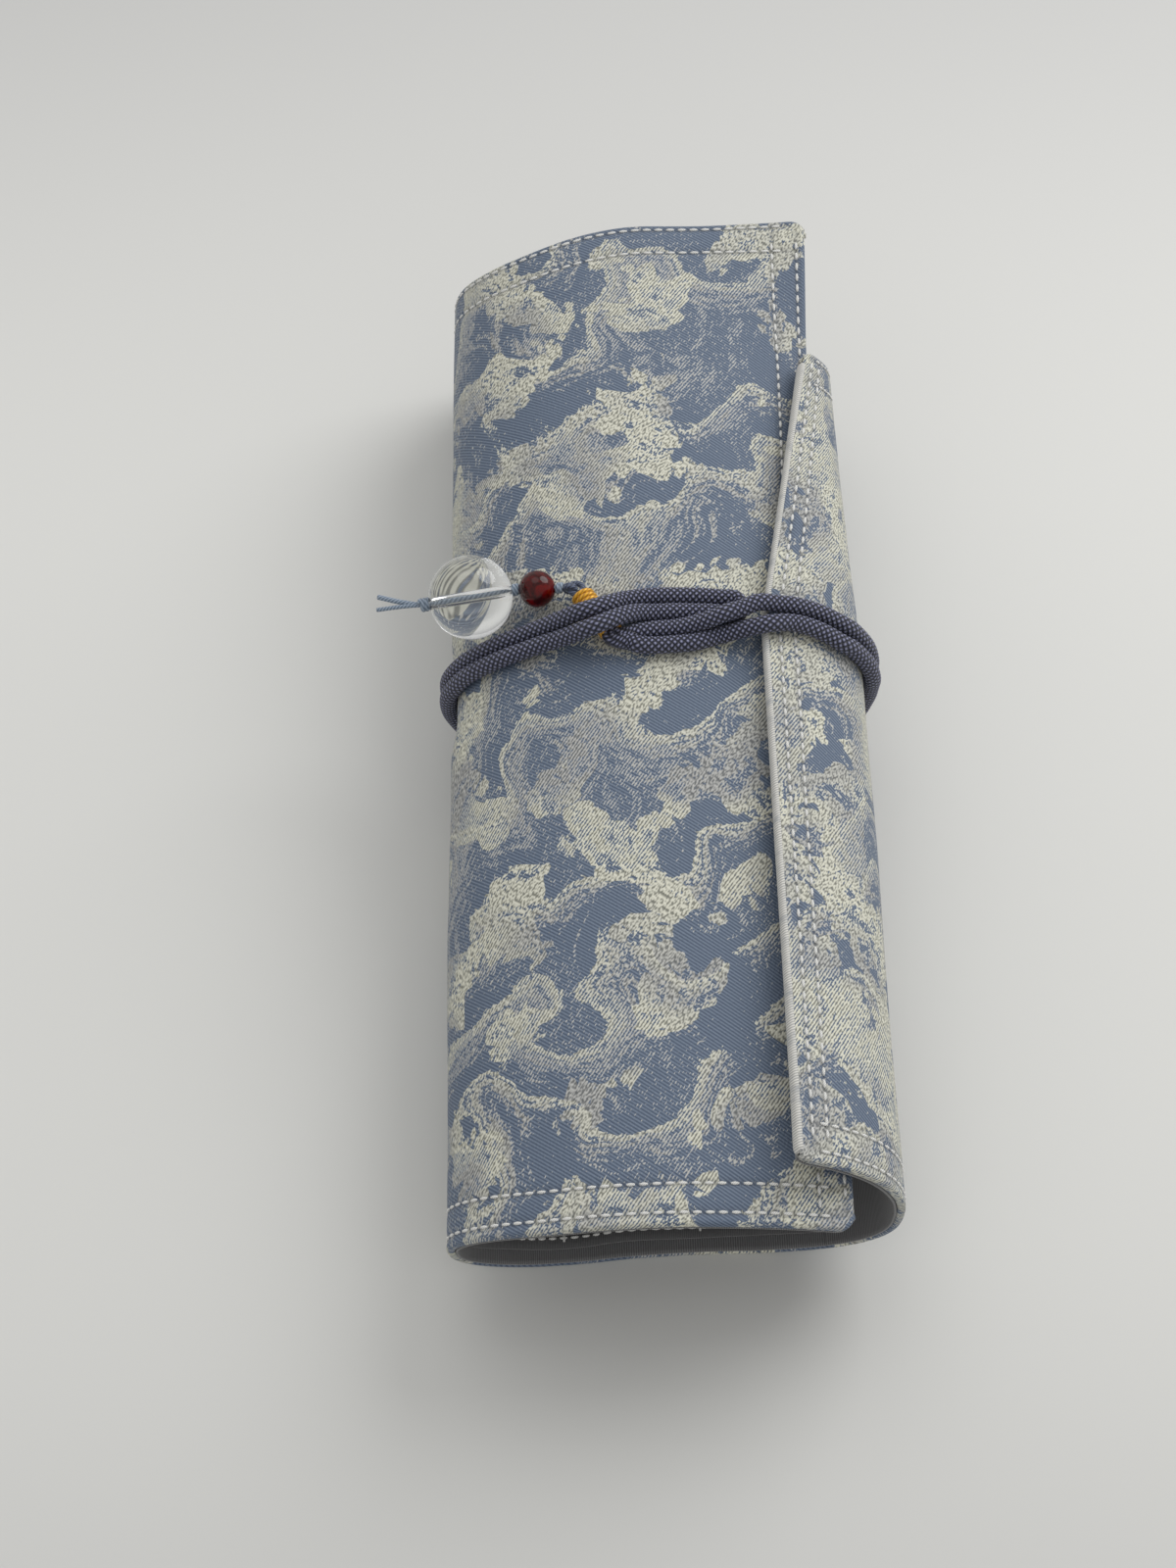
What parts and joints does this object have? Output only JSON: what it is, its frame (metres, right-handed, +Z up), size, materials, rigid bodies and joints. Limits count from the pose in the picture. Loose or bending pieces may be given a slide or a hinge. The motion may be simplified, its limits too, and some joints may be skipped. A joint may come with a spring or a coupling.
{
  "type": "rolled pen pouch",
  "caption": "Rolled fabric pen pouch with lined pockets, closed by a flap and tied with a doubled braided cord that ends in a bead pendant.",
  "frame": {"origin": "on the table plane under the middle of the roll and its tie cord, the pendant left out", "axes": "+Y along the roll from the open end seen in front to the far end, +X towards the side that the closing flap comes over from, +Z up"},
  "size_m": [0.0975, 0.2206, 0.0568],
  "materials": {
    "brocade": "woven jacquard, slate blue ground with cream and silver grey figures",
    "interlining": "stiff felted interlining",
    "lining": "fine ribbed lining cloth, matt",
    "edge_facing": "plain lilac grey edging, matt",
    "pocket_cloth": "fine ribbed cloth, stitched in channels",
    "tie_cord": "dark indigo braid with a slight sheen",
    "gold_thread": "glossy gold thread",
    "pale_thread": "pale blue twisted thread",
    "red_stone": "polished dark red",
    "crystal": "clear, polished"
  },
  "bodies": {
    "roll": {"brocade_body": "brocade", "stiffener_body": "interlining", "lining_body": "lining", "pocket_panel": "pocket_cloth", "cord_loop": "tie_cord"},
    "flap": {"brocade_flap": "brocade", "stiffener_flap": "interlining", "lining_flap": "lining", "flap_edge_roll": "edge_facing", "cord_tail": "tie_cord", "gold_whipping": "gold_thread"},
    "pendant": {"bead_thread": "pale_thread"},
    "small_bead": {"red_bead": "red_stone"},
    "large_bead": {"crystal_bead": "crystal"}
  },
  "joints": [
    {"name": "flap_hinge", "type": "hinge", "parent": "roll", "child": "flap", "pos_m": [0.0434, 0, 0.02501], "axis": [0, 0.9992, 0.039], "range_deg": [0, 135], "deforming": ["cord_loop"]},
    {"name": "pendant_lift", "type": "hinge", "parent": "flap", "child": "pendant", "pos_m": [-0.01725, 0.01419, 0.04986], "axis": [0.0782, 0.9969, 0], "range_deg": [0, 120]},
    {"name": "small_bead_spin", "type": "hinge", "parent": "pendant", "child": "small_bead", "pos_m": [-0.02351, 0.01468, 0.04923], "axis": [-0.9862, 0.0773, -0.1462], "continuous": true},
    {"name": "large_bead_spin", "type": "hinge", "parent": "pendant", "child": "large_bead", "pos_m": [-0.03626, 0.01412, 0.04767], "axis": [-0.9888, -0.1029, -0.1082], "continuous": true}
  ]
}
